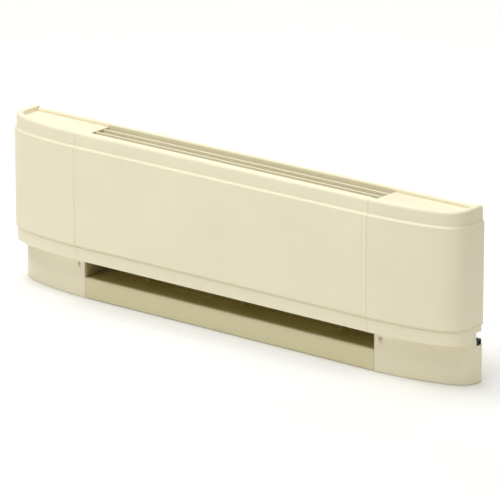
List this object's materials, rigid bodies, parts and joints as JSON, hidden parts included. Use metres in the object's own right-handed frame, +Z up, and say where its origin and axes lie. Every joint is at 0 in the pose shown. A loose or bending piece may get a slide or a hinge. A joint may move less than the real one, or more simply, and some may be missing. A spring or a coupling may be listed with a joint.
{
  "type": "baseboard heater",
  "caption": "Low electric convector baseboard heater with a hinged front panel, curved removable end caps, a finned element, an intake slot below and an outlet grille on top.",
  "frame": {"origin": "middle of the underside's bounding box, on the floor", "axes": "+X along the heater to its right end, +Y back to the wall, +Z up; the front faces -Y"},
  "size_m": [0.762, 0.073, 0.238],
  "materials": {
    "almond_paint": "satin powder coat",
    "almond_plastic": "moulded satin",
    "galvanised": "galvanised sheet",
    "aluminium": "mill finish",
    "steel": "zinc plated",
    "heated_steel": "heat-tinted sheath",
    "copper": "drawn copper",
    "ceramic": "unglazed ceramic",
    "black_plastic": "moulded satin",
    "black_wire": "wire insulation",
    "red_wire": "wire insulation",
    "green_wire": "wire insulation",
    "orange_plastic": "moulded satin"
  },
  "bodies": {
    "cabinet": {"back_panel": "almond_paint", "base_pan": "almond_paint", "front_grille_slat": "almond_paint", "middle_grille_slat": "almond_paint", "rear_grille_slat": "almond_paint", "left_support_bracket": "almond_paint", "center_support_bracket": "almond_paint", "right_support_bracket": "almond_paint", "right_bulkhead": "almond_paint", "left_bulkhead": "almond_paint", "left_bracket_screw": "steel", "center_bracket_screw": "steel", "right_bracket_screw": "steel", "left_panel_clip": "steel", "right_panel_clip": "steel", "right_terminal_stud": "steel", "left_terminal_stud": "steel", "left_capillary_clip": "steel", "center_capillary_clip": "steel", "right_capillary_clip": "steel", "ground_screw": "steel", "cable_clamp_screw": "steel", "right_cap_support": "galvanised", "left_cap_support": "galvanised", "heat_reflector": "aluminium", "fin_bank_1": "aluminium", "fin_bank_2": "aluminium", "fin_bank_3": "aluminium", "fin_bank_4": "aluminium", "element_tube": "heated_steel", "right_element_bushing": "ceramic", "left_element_bushing": "ceramic", "right_terminal_insulator": "ceramic", "left_terminal_insulator": "ceramic", "high_limit_switch": "black_plastic", "supply_cable_clamp": "black_plastic", "limit_capillary": "copper", "return_lead": "black_wire", "element_lead": "red_wire", "limit_lead": "red_wire", "ground_lead": "green_wire", "neutral_connector": "orange_plastic", "line_connector": "orange_plastic"},
    "front_panel": {"front_panel": "almond_paint", "panel_stiffener": "almond_paint"},
    "left_end_cap": {"left_end_cap": "almond_plastic", "left_cap_screw": "almond_paint"},
    "right_end_cap": {"right_end_cap": "almond_plastic", "right_cap_screw": "almond_paint"}
  },
  "joints": [
    {"name": "front_panel_tilt", "type": "hinge", "parent": "cabinet", "child": "front_panel", "pos_m": [0, -0.0237, 0.231], "axis": [-1, 0, 0], "range_deg": [0, 30]},
    {"name": "left_end_cap_slide", "type": "slide", "parent": "cabinet", "child": "left_end_cap", "axis": [-1, 0, 0], "range_m": [0, 0.15]},
    {"name": "right_end_cap_slide", "type": "slide", "parent": "cabinet", "child": "right_end_cap", "axis": [1, 0, 0], "range_m": [0, 0.15]}
  ]
}
